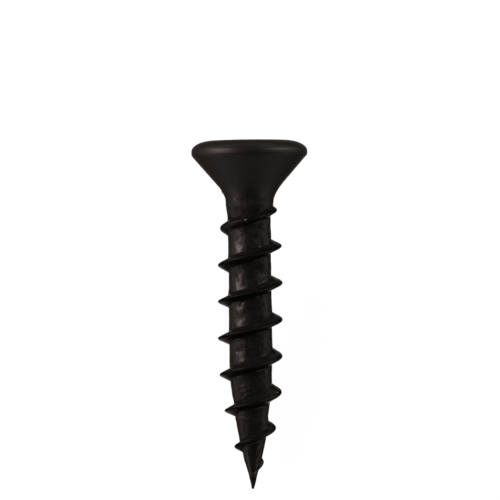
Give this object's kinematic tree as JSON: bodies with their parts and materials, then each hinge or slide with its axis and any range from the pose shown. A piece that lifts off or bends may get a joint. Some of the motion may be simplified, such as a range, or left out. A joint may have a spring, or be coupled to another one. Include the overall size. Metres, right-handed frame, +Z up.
{
  "type": "drawer slide screw",
  "caption": "Countersunk drawer slide screw with a cross recess, a coarse right-hand thread and a sharp gimlet point, lying on its side.",
  "frame": {"origin": "on the floor, below the middle of the lying screw's box", "axes": "+Z up from the floor; the screw lies along Y with its head towards +Y, and its axis rises towards the head"},
  "size_m": [0.0084, 0.0256, 0.0084],
  "materials": {
    "black_phosphated_steel": "satin"
  },
  "bodies": {
    "root": {"screw": "black_phosphated_steel"}
  },
  "joints": []
}
